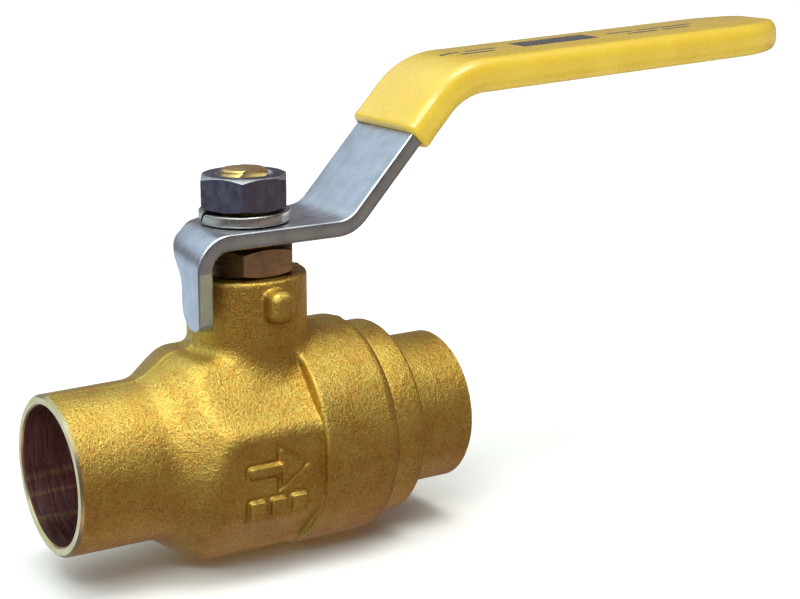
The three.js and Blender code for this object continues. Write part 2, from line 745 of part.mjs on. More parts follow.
const turning = new THREE.Group();
turning.add(
  part('stem', stem(), TURNED_BRASS),
  part('stem_thrust_washer', ring(
    'z', STEM_COLLAR_TOP + GAP / 2, COLLAR_BORE_TOP - GAP / 2, STEM_BORE_RADIUS, STEM_COLLAR_RADIUS,
  ), PTFE),
  part('lever_handle', leverHandle(), ZINC_STEEL),
  part('handle_grip', handleGrip(), YELLOW_VINYL),
  part('lock_washer', lockWasher(), ZINC_STEEL),
  part('handle_nut', handleNut(), DARK_STEEL),
);

const valve = new THREE.Group();
valve.add(housing, turning, part('ball', ball(), CHROME_PLATE));

export default valve;
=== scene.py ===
"""Forged brass ball valve with solder cups and a yellow-gripped steel lever.

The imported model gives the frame. Every visible piece is rebuilt here as a fine
mesh in the same place: the forging as a blended distance field that is then
machined by boolean cuts, the turned pieces as lathe work, the lever as a flat
blank that is bent, and the grip as a loft over the lever. Shapes are worked out
in millimetres, and converted to metres when a mesh is made.
"""

import math

import bmesh
import bpy
import numpy as np
from mathutils import Matrix, Vector


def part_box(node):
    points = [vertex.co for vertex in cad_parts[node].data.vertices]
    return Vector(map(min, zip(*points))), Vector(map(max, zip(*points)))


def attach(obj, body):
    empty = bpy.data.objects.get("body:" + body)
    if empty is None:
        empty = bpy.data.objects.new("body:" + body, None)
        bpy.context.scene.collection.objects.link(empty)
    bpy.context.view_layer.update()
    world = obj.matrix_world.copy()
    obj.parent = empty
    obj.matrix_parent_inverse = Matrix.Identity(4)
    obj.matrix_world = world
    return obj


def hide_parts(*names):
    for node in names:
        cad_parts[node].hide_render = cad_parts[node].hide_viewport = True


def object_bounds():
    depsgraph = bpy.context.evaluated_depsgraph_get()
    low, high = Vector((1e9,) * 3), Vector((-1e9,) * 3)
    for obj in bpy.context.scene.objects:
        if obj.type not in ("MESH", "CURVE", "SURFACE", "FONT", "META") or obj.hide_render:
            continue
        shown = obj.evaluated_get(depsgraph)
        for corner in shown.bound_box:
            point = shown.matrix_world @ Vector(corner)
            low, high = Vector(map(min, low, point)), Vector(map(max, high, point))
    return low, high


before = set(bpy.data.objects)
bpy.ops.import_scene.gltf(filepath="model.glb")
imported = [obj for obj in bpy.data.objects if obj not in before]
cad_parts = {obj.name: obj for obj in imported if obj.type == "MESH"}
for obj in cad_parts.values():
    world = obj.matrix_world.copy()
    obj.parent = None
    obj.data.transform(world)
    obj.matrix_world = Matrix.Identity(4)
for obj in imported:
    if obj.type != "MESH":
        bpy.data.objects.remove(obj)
CAD_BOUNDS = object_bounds()
MM = 0.001


def edges_of(node):
    """Lowest and highest corners of a CAD node, in millimetres."""
    low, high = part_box(node)
    return low / MM, high / MM


# ------------------------------------------------- dimensions, in millimetres

BODY_LOW, BODY_HIGH = edges_of("valve_body")
TAIL_LOW, TAIL_HIGH = edges_of("tailpiece")
SEAT_LOW, SEAT_HIGH = edges_of("seat_outlet")
STEM_LOW, STEM_HIGH = edges_of("stem")
LEVER_LOW, LEVER_HIGH = edges_of("lever_handle")
WASHER_LOW, WASHER_HIGH = edges_of("lock_washer")
GRIP_HIGH = edges_of("handle_grip")[1]
BALL_RADIUS = edges_of("ball")[1].y

PLAY = 0.15  # kept between pieces that touch in the real valve
INLET_X = BODY_LOW.x
BARREL_END = BODY_HIGH.x
BARREL_RADIUS = BODY_HIGH.y
NECK_TOP = BODY_HIGH.z
OUTLET_X = TAIL_HIGH.x
SHOULDER_RADIUS = TAIL_HIGH.z
CUP_OUTER = 12.8
CUP_SWELL = 0.15  # growth of the inlet cup's radius on its way to the flare
CUP_RADIUS = 11.15
CUP_DEPTH = 19.05
RIM_INSIDE, RIM_OUTSIDE = 0.25, 0.45
PORT_RADIUS = 9.5
CHAMBER_HALF = 16.85
CHAMBER_END = 4.3
FLARE_START = -19.4
FLARE_SLOPE = 0.74
DRAFT = 0.07  # fall of the forging's upper faces away from its parting line
DRAFT_HEIGHT = 8  # height in which that fall reaches its full slope
FLASH_HALF_WIDTH, FLASH_HEIGHT = 0.7, 0.12  # ridge along the parting line
MARK_HEIGHT, MARK_ROOT = 0.5, 1.5  # how far the marks stand out of the flat and reach into it
ARROW_Z = 0.3
GROOVE_DEPTH, GROOVE_AWAY, GROOVE_WIDTH = 0.3, 0.4, 0.3  # round the marks
PAD_START, PAD_PITCH, PAD_Z = -7.65, 3.7, -6.0
CAVITY_RADIUS = 14.75
SEAT_FLOOR = 12.75
POCKET_MOUTH, POCKET_RADIUS = 8.2, 13.15  # pocket of the inlet seat
THREAD_START = 7.4
THREAD_RADIUS = 16.4
NECK_RADIUS = 9.78
LUG_HALF_WIDTH, LUG_HALF_HEIGHT = 2.15, 2.65
LUG_Z = 24.5
LUG_REACH = 13.0
LUG_ROOT = NECK_RADIUS - 3
COLLAR_ROOM, COLLAR_ROOF = 6.4, 18.2  # radius and top of the room for the stem's collar
PACKING_BORE, PACKING_FLOOR = 6.8, 20.2
STEM_BORE = 4.75
STEM_RADIUS = 4.6
COLLAR_LOW, COLLAR_HIGH, COLLAR_RADIUS = 14.7, 17.0, 6.2
FLATS_FROM = 33.6

SHEET = 2.66  # thickness of the lever's steel
LEVER_HALF = LEVER_HIGH.y
LEVER_TOP = WASHER_LOW.z - 0.12
LEVER_MID = LEVER_TOP - SHEET / 2
KNEE_X = 15.1
SHOULDER_X, SHOULDER_Z = 35.9, 57.5
STRIP_END_X, STRIP_END_Z = 110.0, 60.7
BLANK_TIP = 9.0  # length of the blank's rounded far end
TAB_BACK = -2.3
TAB_LENGTH = 9.5
STEM_FLAT = 3.0
THREAD_M8 = 4.0

ROUND, SMALL_ROUND = 128, 96  # steps round a large and a small turned piece
FACE, RIM, BORE_SIDE = 0, 1, 2  # material slots of the two brass end pieces

# Printed on the grip: start and end along X, then the two edges across
PRINTED_BARS = [
    (38.5, 42.5, 0.8, 1.8), (43.5, 50.0, 0.8, 1.8), (41.0, 48.0, -1.7, -0.7),
    (54.5, 71.0, -1.4, 4.2), (74.5, 80.5, 0.8, 1.8), (81.5, 94.5, 0.8, 1.8),
    (77.5, 84.5, -1.7, -0.7), (85.5, 92.0, -1.7, -0.7),
]


# ------------------------------------------------------------------ mesh work

def mesh_object(name, vertices, faces, materials, face_slots=None, smooth_angle=35):
    """Object from points in millimetres, smooth but for edges sharper than smooth_angle."""
    mesh = bpy.data.meshes.new(name)
    points = [(x * MM, y * MM, z * MM) for x, y, z in vertices]
    mesh.from_pydata(points, [], faces)
    for material in materials:
        mesh.materials.append(material)
    if face_slots is not None:
        mesh.polygons.foreach_set("material_index", np.array(face_slots, np.int32))
    piece = bpy.data.objects.new(name, mesh)
    bpy.context.scene.collection.objects.link(piece)
    tidy(piece, smooth_angle)
    return piece


def tidy(piece, smooth_angle=35):
    """Faces point out, doubled points merged, and hard edges marked by angle."""
    mesh = piece.data
    work = bmesh.new()
    work.from_mesh(mesh)
    bmesh.ops.remove_doubles(work, verts=work.verts, dist=1e-7)
    bmesh.ops.recalc_face_normals(work, faces=work.faces)
    work.to_mesh(mesh)
    work.free()
    mesh.polygons.foreach_set("use_smooth", [True] * len(mesh.polygons))
    mesh.set_sharp_from_angle(angle=math.radians(smooth_angle))
    mesh.update()


def ring_quads(i, j, count):
    """Quads between rings i and j of a list of rings, each of count points."""
    following = [(k + 1) % count for k in range(count)]
    return [(i * count + k, i * count + m, j * count + m, j * count + k)
            for k, m in enumerate(following)]


def lathe(axis, profile, slots=None, steps=ROUND):
    """Points, quads and material slots of a profile of (along, radius) turned about X or Z.

    The profile is a closed section, or it starts and ends on the axis. slots gives
    one material slot for each stretch of the profile.
    """
    closed = profile[0][1] > 0
    count = len(profile)
    angles = np.arange(steps) * (2 * math.pi / steps)
    along = np.repeat([p[0] for p in profile], steps)
    radius = np.repeat([p[1] for p in profile], steps)
    turn = np.tile(angles, count)
    side_a = radius * np.cos(turn)
    side_b = radius * np.sin(turn)
    if axis == "x":
        points = np.stack([along, side_a, side_b], 1)
    else:
        points = np.stack([side_a, side_b, along], 1)
    faces = []
    face_slots = []
    for i in range(count if closed else count - 1):
        faces += ring_quads(i, (i + 1) % count, steps)
        face_slots += [0 if slots is None else slots[i]] * steps
    return points, faces, face_slots


def turned(name, axis, profile, materials, slots=None, steps=ROUND, smooth_angle=35):
    points, faces, face_slots = lathe(axis, profile, slots, steps)
    return mesh_object(name, points, faces, materials, face_slots, smooth_angle)


def arc(centre_u, centre_v, radius, start, end, steps):
    """Points of an arc between two angles in degrees, ends included."""
    turn = np.radians(np.linspace(start, end, steps + 1))
    return [(centre_u + radius * math.cos(a), centre_v + radius * math.sin(a)) for a in turn]


def rounded_section(half_w, half_t, radius, steps):
    """Rounded rectangle in (across, out), counter-clockwise, 4 * (steps + 1) points."""
    radius = min(radius, half_w * 0.999, half_t * 0.999)
    section = []
    for cu, cv, first in ((1, 1, 0), (-1, 1, 90), (-1, -1, 180), (1, -1, 270)):
        centre_u, centre_v = cu * (half_w - radius), cv * (half_t - radius)
        section += arc(centre_u, centre_v, radius, first, first + 90, steps)
    return section


def prism(name, outline, low, high, materials):
    """Straight prism from an outline in (x, y), between two heights."""
    count = len(outline)
    points = [(u, v, low) for u, v in outline] + [(u, v, high) for u, v in outline]
    faces = [tuple(range(count))[::-1], tuple(range(count, 2 * count))]
    faces += ring_quads(0, 1, count)
    return mesh_object(name, points, faces, materials)


def combine(piece, tools, operation, smooth_angle=35):
    """Cuts or joins piece with each tool by a boolean, then removes the tools."""
    for tool in tools:
        modifier = piece.modifiers.new("cut", "BOOLEAN")
        modifier.operation = operation
        modifier.solver = "MANIFOLD"
        modifier.object = tool
        bpy.context.view_layer.update()
        evaluated = piece.evaluated_get(bpy.context.evaluated_depsgraph_get())
        result = bpy.data.meshes.new_from_object(evaluated)
        piece.modifiers.clear()
        old = piece.data
        piece.data = result
        bpy.data.meshes.remove(old)
        bpy.data.objects.remove(tool)
    piece.data.name = piece.name
    tidy(piece, smooth_angle)
    return piece


def place(piece, body, *nodes, slot):
    """Rides piece on its body in place of the CAD nodes it stands for."""
    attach(piece, body)
    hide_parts(*nodes)
    return piece


# ------------------------------------------------------------------ materials

class Nodes:
    """Shorthand for filling the node tree of a material or of the world."""

    def __init__(self, tree):
        self.tree = tree
        tree.nodes.clear()

    def fill(self, socket, content):
        """Feeds a socket from another one, or gives it a plain value."""
        if isinstance(content, bpy.types.NodeSocket):
            self.tree.links.new(content, socket)
        else:
            socket.default_value = content

    def node(self, kind, **inputs):
        """New node; an underscore in an input's name stands for a space."""
        made = self.tree.nodes.new(kind)
        for name, content in inputs.items():
            self.fill(made.inputs[name.replace("_", " ")], content)
        return made

    def math(self, operation, first, second=0.0):
        made = self.tree.nodes.new("ShaderNodeMath")
        made.operation = operation
        self.fill(made.inputs[0], first)
        self.fill(made.inputs[1], second)
        return made.outputs[0]

    def along(self, direction, axis):
        """How far a direction points along an axis: their dot product."""
        made = self.tree.nodes.new("ShaderNodeVectorMath")
        made.operation = "DOT_PRODUCT"
        self.fill(made.inputs[0], direction)
        self.fill(made.inputs[1], axis)
        return made.outputs["Value"]

    def ramp(self, factor, *stops):
        """Colour ramp; each stop is (position, grey or colour)."""
        made = self.node("ShaderNodeValToRGB", Fac=factor)
        elements = made.color_ramp.elements
        while len(elements) < len(stops):
            elements.new(0.5)
        for element, (where, tone) in zip(elements, stops):
            element.position = where
            colour = (tone,) * 3 if isinstance(tone, (int, float)) else tone
            element.color = (*colour, 1)
        return made.outputs["Color"]

    def between(self, factor, low, high):
        """Ramp from one tone to another over the middle of a noise's range."""
        return self.ramp(factor, (0.3, low), (0.7, high))

    def mix(self, factor, first, second, blend="MIX"):
        """Blend of two colours, each from a socket or given as red, green and blue."""
        made = self.tree.nodes.new("ShaderNodeMix")
        made.data_type = "RGBA"
        made.blend_type = blend
        for index, content in ((0, factor), (6, first), (7, second)):
            colour = (*content, 1) if isinstance(content, tuple) else content
            self.fill(made.inputs[index], colour)
        return made.outputs[2]


class Shader(Nodes):
    """One Principled material, with the patterns that the materials share."""

    def __init__(self, name, metallic=1.0):
        self.material = bpy.data.materials.new(name)
        self.material.use_nodes = True
        super().__init__(self.material.node_tree)
        self.surface = self.node("ShaderNodeBsdfPrincipled")
        self.node("ShaderNodeOutputMaterial", Surface=self.surface.outputs[0])
        self.position = self.node("ShaderNodeTexCoord").outputs["Object"]
        self.value("Metallic", metallic)

    def value(self, socket, number):
        self.surface.inputs[socket].default_value = number

    def stretched(self, x=1.0, y=1.0, z=1.0):
        """Position with each axis scaled, so that a pattern is drawn out along one."""
        mapping = self.node("ShaderNodeMapping", Vector=self.position, Scale=(x, y, z))
        return mapping.outputs[0]

    def noise(self, size_mm, detail=2.0, roughness=0.5, vector=None):
        """Noise whose features measure about size_mm."""
        made = self.node(
            "ShaderNodeTexNoise", Vector=vector or self.position,
            Scale=1 / (size_mm * MM), Detail=detail, Roughness=roughness,
        )
        return made.outputs["Fac"]

    def bump(self, height, strength, depth_mm, below=None):
        inputs = {"Height": height, "Strength": strength, "Distance": depth_mm * MM}
        if below is not None:
            inputs["Normal"] = below
        return self.node("ShaderNodeBump", **inputs).outputs[0]

    def band(self, value, low_mm, high_mm):
        """1 where value lies between two distances, else 0."""
        above = self.math("GREATER_THAN", value, low_mm * MM)
        return self.math("MULTIPLY", above, self.math("LESS_THAN", value, high_mm * MM))

    def printed_bars(self):
        """Mask of the plain bars printed along the top of the grip."""
        split = self.node("ShaderNodeSeparateXYZ", Vector=self.position)
        x, y, z = split.outputs
        total = 0.0
        for start, end, low, high in PRINTED_BARS:
            bar = self.math("MULTIPLY", self.band(x, start, end), self.band(y, low, high))
            total = self.math("ADD", total, bar)
        slope = (STRIP_END_Z - SHOULDER_Z) / (STRIP_END_X - SHOULDER_X)
        line = self.math("SUBTRACT", z, self.math("MULTIPLY", x, slope))
        level = (SHOULDER_Z - SHOULDER_X * slope) * MM
        return self.math("MULTIPLY", total, self.math("GREATER_THAN", line, level))

    def finish(self, colour, roughness=None, normal=None):
        """Feeds the surface, and gives the finished material."""
        sources = {"Base Color": colour, "Roughness": roughness, "Normal": normal}
        for socket, source in sources.items():
            if source is not None:
                self.fill(self.surface.inputs[socket], source)
        return self.material


def forged_brass():
    """Blasted forging: sandy grain, cloudy and speckled colour, fine dark pits."""
    shader = Shader("forged_brass")
    grain = shader.noise(0.30, 3, 0.7)
    coarse = shader.noise(0.8, 3, 0.55)
    cloud = shader.noise(6, 3, 0.6)
    tint = shader.between(cloud, (0.62, 0.39, 0.08), (0.76, 0.57, 0.13))
    fleck = shader.noise(0.9, 4, 0.75)
    flecks = shader.ramp(
        fleck, (0.36, (1.0, 0.84, 0.76)), (0.5, (0.95, 0.95, 0.95)), (0.64, (0.93, 1.03, 0.93)),
    )
    pits = shader.ramp(grain, (0.34, (0.40, 0.26, 0.20)), (0.55, (1, 1, 1)))
    colour = shader.mix(0.7, shader.mix(1.0, tint, flecks, "MULTIPLY"), pits, "MULTIPLY")
    rough = shader.between(grain, 0.46, 0.28)
    slow = shader.bump(coarse, 0.8, 0.16)
    return shader.finish(colour, rough, shader.bump(grain, 1.0, 0.15, slow))


def machined_brass():
    """Turned rims: fine rings round the pipe axis."""
    shader = Shader("machined_brass")
    shader.value("Anisotropic", 0.4)
    marks = shader.noise(0.22, 2, 0.6, shader.stretched(1, 0.06, 0.06))
    cloud = shader.noise(3, 2)
    colour = shader.between(cloud, (0.66, 0.52, 0.22), (0.80, 0.70, 0.44))
    rough = shader.between(marks, 0.17, 0.30)
    return shader.finish(colour, rough, shader.bump(marks, 0.3, 0.03))


def bore_brass():
    """Inside of the bores: painted shade in a dark purple tone, with a few painted highlights as
    bright streaks low down along the pipe, placed by height.
    """
    shader = Shader("bore_brass")
    marks = shader.noise(0.35, 2, 0.6, shader.stretched(1, 0.05, 0.05))
    wander = shader.noise(2.5, 2, 0.5, shader.stretched(0.15, 1, 1))
    height = shader.node("ShaderNodeSeparateXYZ", Vector=shader.position).outputs["Z"]
    share = shader.math("MULTIPLY", height, 1 / (2 * CUP_RADIUS * MM))
    share = shader.math("ADD", share, shader.math("MULTIPLY", wander, 0.07))
    # The dark purple tone is painted shade; the bright stops are painted highlights of the bore's
    # reflection.
    painted_shade, bright = (0.66, 0.43, 0.43), (1.0, 0.88, 0.55)
    stops = [(0.0, painted_shade)]
    for middle, half in ((0.12, 0.02), (0.27, 0.02), (0.39, 0.03)):
        stops += [(middle - half, painted_shade), (middle, bright), (middle + half, painted_shade)]
    colour = shader.ramp(shader.math("ADD", share, 0.5), *stops)
    rough = shader.between(marks, 0.20, 0.34)
    return shader.finish(colour, rough, shader.bump(marks, 0.8, 0.06))


def turned_brass(name, dark, light):
    """Brass turned about the stem axis, tarnished in clouds between two tones; for the gland nut both
    tones are darkened as painted shade.
    """
    shader = Shader(name)
    marks = shader.noise(0.25, 2, 0.6, shader.stretched(0.06, 0.06, 1))
    cloud = shader.noise(2.5, 3)
    colour = shader.between(cloud, dark, light)
    rough = shader.between(marks, 0.24, 0.40)
    return shader.finish(colour, rough, shader.bump(marks, 0.3, 0.03))


def zinc_steel(name, tone, streak):
    """Zinc-plated sheet with drawn streaks along streak and cloudy plating."""
    shader = Shader(name)
    lines = shader.noise(0.3, 3, 0.6, shader.stretched(*streak))
    cloud = shader.noise(3.2, 3, 0.6)
    dark = tuple(0.78 * c for c in tone)
    colour = shader.ramp(cloud, (0.3, dark), (0.68, tone))
    colour = shader.mix(0.35, colour, shader.ramp(lines, (0.35, 0.75), (0.6, 1.0)), "MULTIPLY")
    rough = shader.between(lines, 0.24, 0.40)
    return shader.finish(colour, rough, shader.bump(lines, 0.25, 0.03))


def dark_steel():
    """Nut flats: dark plating, mottled, with light scuffs."""
    shader = Shader("dark_steel")
    mottle = shader.noise(1.6, 4, 0.65)
    scuff = shader.noise(0.35, 2, 0.5, shader.stretched(1, 1, 0.15))
    colour = shader.between(mottle, (0.10, 0.10, 0.15), (0.20, 0.20, 0.27))
    colour = shader.mix(0.3, colour, shader.ramp(scuff, (0.4, 0.6), (0.62, 1.0)), "MULTIPLY")
    rough = shader.between(mottle, 0.30, 0.46)
    return shader.finish(colour, rough, shader.bump(scuff, 0.2, 0.03))


def chrome():
    """Polished ball with a trace of lapping haze."""
    shader = Shader("chrome_plate")
    haze = shader.noise(4, 2)
    colour = shader.between(haze, (0.78, 0.79, 0.81), (0.86, 0.87, 0.88))
    rough = shader.between(haze, 0.05, 0.12)
    return shader.finish(colour, rough)


def ptfe():
    """Waxy white sealing plastic."""
    shader = Shader("ptfe", 0.0)
    cloud = shader.noise(1.5, 3)
    colour = shader.between(cloud, (0.84, 0.83, 0.79), (0.92, 0.92, 0.89))
    rough = shader.between(cloud, 0.45, 0.6)
    return shader.finish(colour, rough, shader.bump(cloud, 0.15, 0.05))


def yellow_vinyl():
    """Dipped vinyl: glossy yellow with slow waves and plain dark printed bars on top."""
    shader = Shader("yellow_vinyl", 0.0)
    shader.value("Coat Weight", 0.6)
    shader.value("Coat Roughness", 0.06)
    waves = shader.noise(6, 2, 0.4)
    peel = shader.noise(0.8, 2, 0.5)
    colour = shader.between(waves, (0.70, 0.47, 0.035), (0.74, 0.52, 0.045))
    worn = shader.ramp(peel, (0.3, 0.75), (0.45, 1.0))
    ink = shader.math("MULTIPLY", shader.printed_bars(), worn)
    colour = shader.mix(ink, colour, (0.020, 0.050, 0.055))
    rough = shader.between(peel, 0.26, 0.30)
    slow = shader.bump(waves, 0.2, 0.3)
    return shader.finish(colour, rough, shader.bump(peel, 0.06, 0.02, slow))


# -------------------------------------------------------- distance-field body

def smooth_min(a, b, width):
    """Lesser of two distances, blended where they differ by less than width."""
    h = np.maximum(width - np.abs(a - b), 0) / width
    return np.minimum(a, b) - h * h * width / 4


def smooth_max(a, b, width):
    return -smooth_min(-a, -b, width)


def box_distance(u, v, centre_u, centre_v, half_u, half_v, corner=0.3):
    """Distance in a plane to a box with rounded corners."""
    over_u = np.abs(u - centre_u) - half_u + corner
    over_v = np.abs(v - centre_v) - half_v + corner
    outside = np.hypot(np.maximum(over_u, 0), np.maximum(over_v, 0))
    return outside + np.minimum(np.maximum(over_u, over_v), 0) - corner


def marks_distance(u, v):
    """Distance to the plain flow arrow and the three pads under it."""
    head_start, tip, taper, slant = 3.4, 0.7, 1.45, 1.76
    shaft = box_distance(u, v, -6.0, ARROW_Z, 3.0, 0.8)
    head = np.maximum(-u - head_start, (u + taper * np.abs(v - ARROW_Z) - tip) / slant)
    pads = [box_distance(u, v, PAD_START + i * PAD_PITCH, PAD_Z, 1.35, 1.5) for i in range(3)]
    return np.minimum(np.minimum(shaft, head), np.minimum.reduce(pads))


def draft_fall(y, z):
    """How far the upper half falls away at a distance y from the parting line."""
    return DRAFT * np.abs(y) * np.clip(z / DRAFT_HEIGHT, 0, 1)


def octagon_distance(y, z):
    """Section of the chamber; its upper half falls away from the parting line."""
    rounding = 1.2
    level = np.abs(z) + draft_fall(y, z)
    sides = smooth_max(np.abs(y), (np.abs(y) + level) / math.sqrt(2), rounding)
    return smooth_max(sides, level, rounding) - CHAMBER_HALF


def pipe_distance(x, y, z):
    """Distance to the inlet cup, the eight-sided chamber with its flare, and the barrel."""
    rounding, step, cup_fillet, barrel_fillet = 2.2, 0.6, 1.1, 0.4
    rho = np.hypot(y, z)
    swell = np.clip((x - INLET_X) / (FLARE_START - INLET_X), 0, 1) * CUP_SWELL
    cup = np.maximum(rho - CUP_OUTER - swell, x)
    cone = rho + draft_fall(y, z) - CUP_OUTER - CUP_SWELL - (x - FLARE_START) * FLARE_SLOPE
    flare = cone / math.hypot(1, FLARE_SLOPE)
    chamber = smooth_max(octagon_distance(y, z), flare, 1.0)
    chamber = np.maximum(chamber, x - CHAMBER_END - 2)
    barrel = smooth_max(rho - BARREL_RADIUS, x - BARREL_END, rounding)
    barrel = smooth_max(barrel, CHAMBER_END - x, step)
    return smooth_min(smooth_min(cup, chamber, cup_fillet), barrel, barrel_fillet)


def lug_distance(x, y, z):
    """Distance to the two stop lugs, one on each side of the neck."""
    corner, nose = 1.7, 1.8
    lug = box_distance(x, z, 0, LUG_Z, LUG_HALF_WIDTH, LUG_HALF_HEIGHT, corner)
    lug = smooth_max(lug, np.abs(y) - LUG_REACH, nose)
    return np.maximum(lug, LUG_ROOT - np.abs(y))


def with_marks(body, x, y, z):
    """The body's distance with the raised marks and the shallow groove round them."""
    edge, fillet = 0.3, 0.2
    marks = marks_distance(x, z)
    groove = GROOVE_DEPTH * np.exp(-((marks - GROOVE_AWAY) / GROOVE_WIDTH) ** 2)
    body = body + groove * (y < MARK_ROOT - CHAMBER_HALF)
    raised = smooth_max(marks, -y - CHAMBER_HALF - MARK_HEIGHT, edge)
    raised = np.maximum(raised, y + CHAMBER_HALF - MARK_ROOT)
    return smooth_min(body, raised, fillet)


def forging_distance(p):
    """Distance from points in millimetres to the outside of the body forging."""
    neck_edge, neck_fillet, lug_fillet = 0.7, 1.9, 0.5
    x, y, z = p[..., 0], p[..., 1], p[..., 2]
    neck = smooth_max(np.hypot(x, y) - NECK_RADIUS, z - NECK_TOP, neck_edge)
    neck = np.maximum(neck, -z)
    body = smooth_min(pipe_distance(x, y, z), neck, neck_fillet)
    body = smooth_min(body, lug_distance(x, y, z), lug_fillet)
    body = body - np.clip(1 - np.abs(y) / FLASH_HALF_WIDTH, 0, 1) * FLASH_HEIGHT
    body = with_marks(body, x, y, z)
    return np.maximum(body, INLET_X - 1 - x)


def field_mesh(distance, low, high, step):
    """Quads on the zero surface of a distance field, by naive surface nets.

    The points are then drawn onto the surface along the field's slope.
    """
    axes = [np.arange(a, b + step, step) for a, b in zip(low, high)]
    counts = [len(a) for a in axes]
    values = np.empty(counts, np.float32)
    grid_y, grid_z = np.meshgrid(axes[1], axes[2], indexing="ij")
    for i, x in enumerate(axes[0]):
        values[i] = distance(np.stack([np.full_like(grid_y, x), grid_y, grid_z], -1))
    inside = values < 0
    cells = [n - 1 for n in counts]
    total = np.zeros((*cells, 3), np.float32)
    hits = np.zeros(cells, np.float32)
    crossings = []
    for axis in range(3):
        head = [slice(None)] * 3
        tail = [slice(None)] * 3
        head[axis] = slice(0, -1)
        tail[axis] = slice(1, None)
        a = values[tuple(head)]
        b = values[tuple(tail)]
        crossed = inside[tuple(head)] != inside[tuple(tail)]
        crossings.append(crossed)
        share = np.where(crossed, a / np.where(crossed, a - b, 1), 0)
        others = [k for k in range(3) if k != axis]
        for da in (0, 1):
            for db in (0, 1):
                window = [slice(None)] * 3
                window[others[0]] = slice(da, da + cells[others[0]])
                window[others[1]] = slice(db, db + cells[others[1]])
                hit = crossed[tuple(window)]
                hits += hit
                total[..., axis] += np.where(hit, share[tuple(window)], 0)
                total[..., others[0]] += np.where(hit, da, 0)
                total[..., others[1]] += np.where(hit, db, 0)
    active = hits > 0
    number = np.full(cells, -1, np.int64)
    number[active] = np.arange(active.sum())
    where = np.argwhere(active)
    points = (where + total[active] / hits[active][:, None]) * step + np.array(low)
    faces = []
    for axis in range(3):
        others = [k for k in range(3) if k != axis]
        edge = np.argwhere(crossings[axis])
        keep = np.all((edge[:, others] > 0) & (edge[:, others] < np.array(cells)[others]), 1)
        edge = edge[keep]
        corners = []
        for da, db in ((-1, -1), (0, -1), (0, 0), (-1, 0)):
            cell = edge.copy()
            cell[:, others[0]] += da
            cell[:, others[1]] += db
            corners.append(number[tuple(cell.T)])
        quad = np.stack(corners, 1)
        flip = inside[tuple(edge.T)] == (axis == 1)
        quad[flip] = quad[flip][:, ::-1]
        faces.append(quad)
    reach = 0.02
    for _ in range(4):
        here = distance(points)
        rises = [distance(points + o) - distance(points - o) for o in np.eye(3) * reach]
        gradient = np.stack(rises, 1) / (2 * reach)
        scale = np.maximum((gradient ** 2).sum(1), 0.25)
        points = points - gradient * (here / scale)[:, None]
    return points, np.concatenate(faces)


def pipe_cutter(materials):
    """Tool for the inlet cup, port, seat pocket, cavity and thread bore."""
    chamfer, past = 0.5, BARREL_END + 2
    stop = INLET_X + CUP_DEPTH
    profile = [
        (INLET_X, 0), (INLET_X, CUP_RADIUS + RIM_INSIDE), (INLET_X + RIM_INSIDE, CUP_RADIUS),
        (stop, CUP_RADIUS), (stop, PORT_RADIUS), (-SEAT_FLOOR, PORT_RADIUS),
        (-SEAT_FLOOR, POCKET_RADIUS), (-POCKET_MOUTH, POCKET_RADIUS),
        (-POCKET_MOUTH, CAVITY_RADIUS), (THREAD_START, CAVITY_RADIUS),
        (THREAD_START, THREAD_RADIUS), (BARREL_END - chamfer, THREAD_RADIUS),
        (BARREL_END, THREAD_RADIUS + chamfer), (past, THREAD_RADIUS + chamfer), (past, 0),
    ]
    slots = [BORE_SIDE, RIM] + [BORE_SIDE] * (len(profile) - 2)
    return turned("pipe_bore", "x", profile, materials, slots)


def facing_cutter(materials):
    """Tool that faces the inlet cup's end and chamfers its outer edge."""
    before, beyond = INLET_X - 4, CUP_OUTER + 3
    chamfer_end = INLET_X + RIM_OUTSIDE
    profile = [
        (before, 0), (before, beyond), (chamfer_end, beyond), (chamfer_end, CUP_OUTER + 0.01),
        (INLET_X, CUP_OUTER - RIM_OUTSIDE), (INLET_X, 0),
    ]
    return turned("inlet_facing", "x", profile, materials, [RIM] * len(profile))


def neck_cutter(materials):
    """Tool for the room of the stem's collar, the stem bore and the packing bore."""
    chamfer, past = 0.3, NECK_TOP + 2
    profile = [
        (0, 0), (0, COLLAR_ROOM), (COLLAR_ROOF, COLLAR_ROOM), (COLLAR_ROOF, STEM_BORE),
        (PACKING_FLOOR, STEM_BORE), (PACKING_FLOOR, PACKING_BORE),
        (NECK_TOP - chamfer, PACKING_BORE), (NECK_TOP, PACKING_BORE + chamfer),
        (past, PACKING_BORE + chamfer), (past, 0),
    ]
    return turned("neck_bore", "z", profile, materials, [BORE_SIDE] * len(profile))


def forging(materials):
    """Body forging, machined at its bores and its inlet face."""
    step = 0.3
    low = (INLET_X - 2, -BARREL_RADIUS - 1, -BARREL_RADIUS - 1)
    high = (BARREL_END + 1, BARREL_RADIUS + 1, NECK_TOP + 1)
    points, faces = field_mesh(forging_distance, low, high, step)
    piece = mesh_object("body_forging", points, faces.tolist(), materials, smooth_angle=180)
    tools = [pipe_cutter(materials), facing_cutter(materials), neck_cutter(materials)]
    return combine(piece, tools, "DIFFERENCE", 38)


# --------------------------------------------------------------- turned pieces

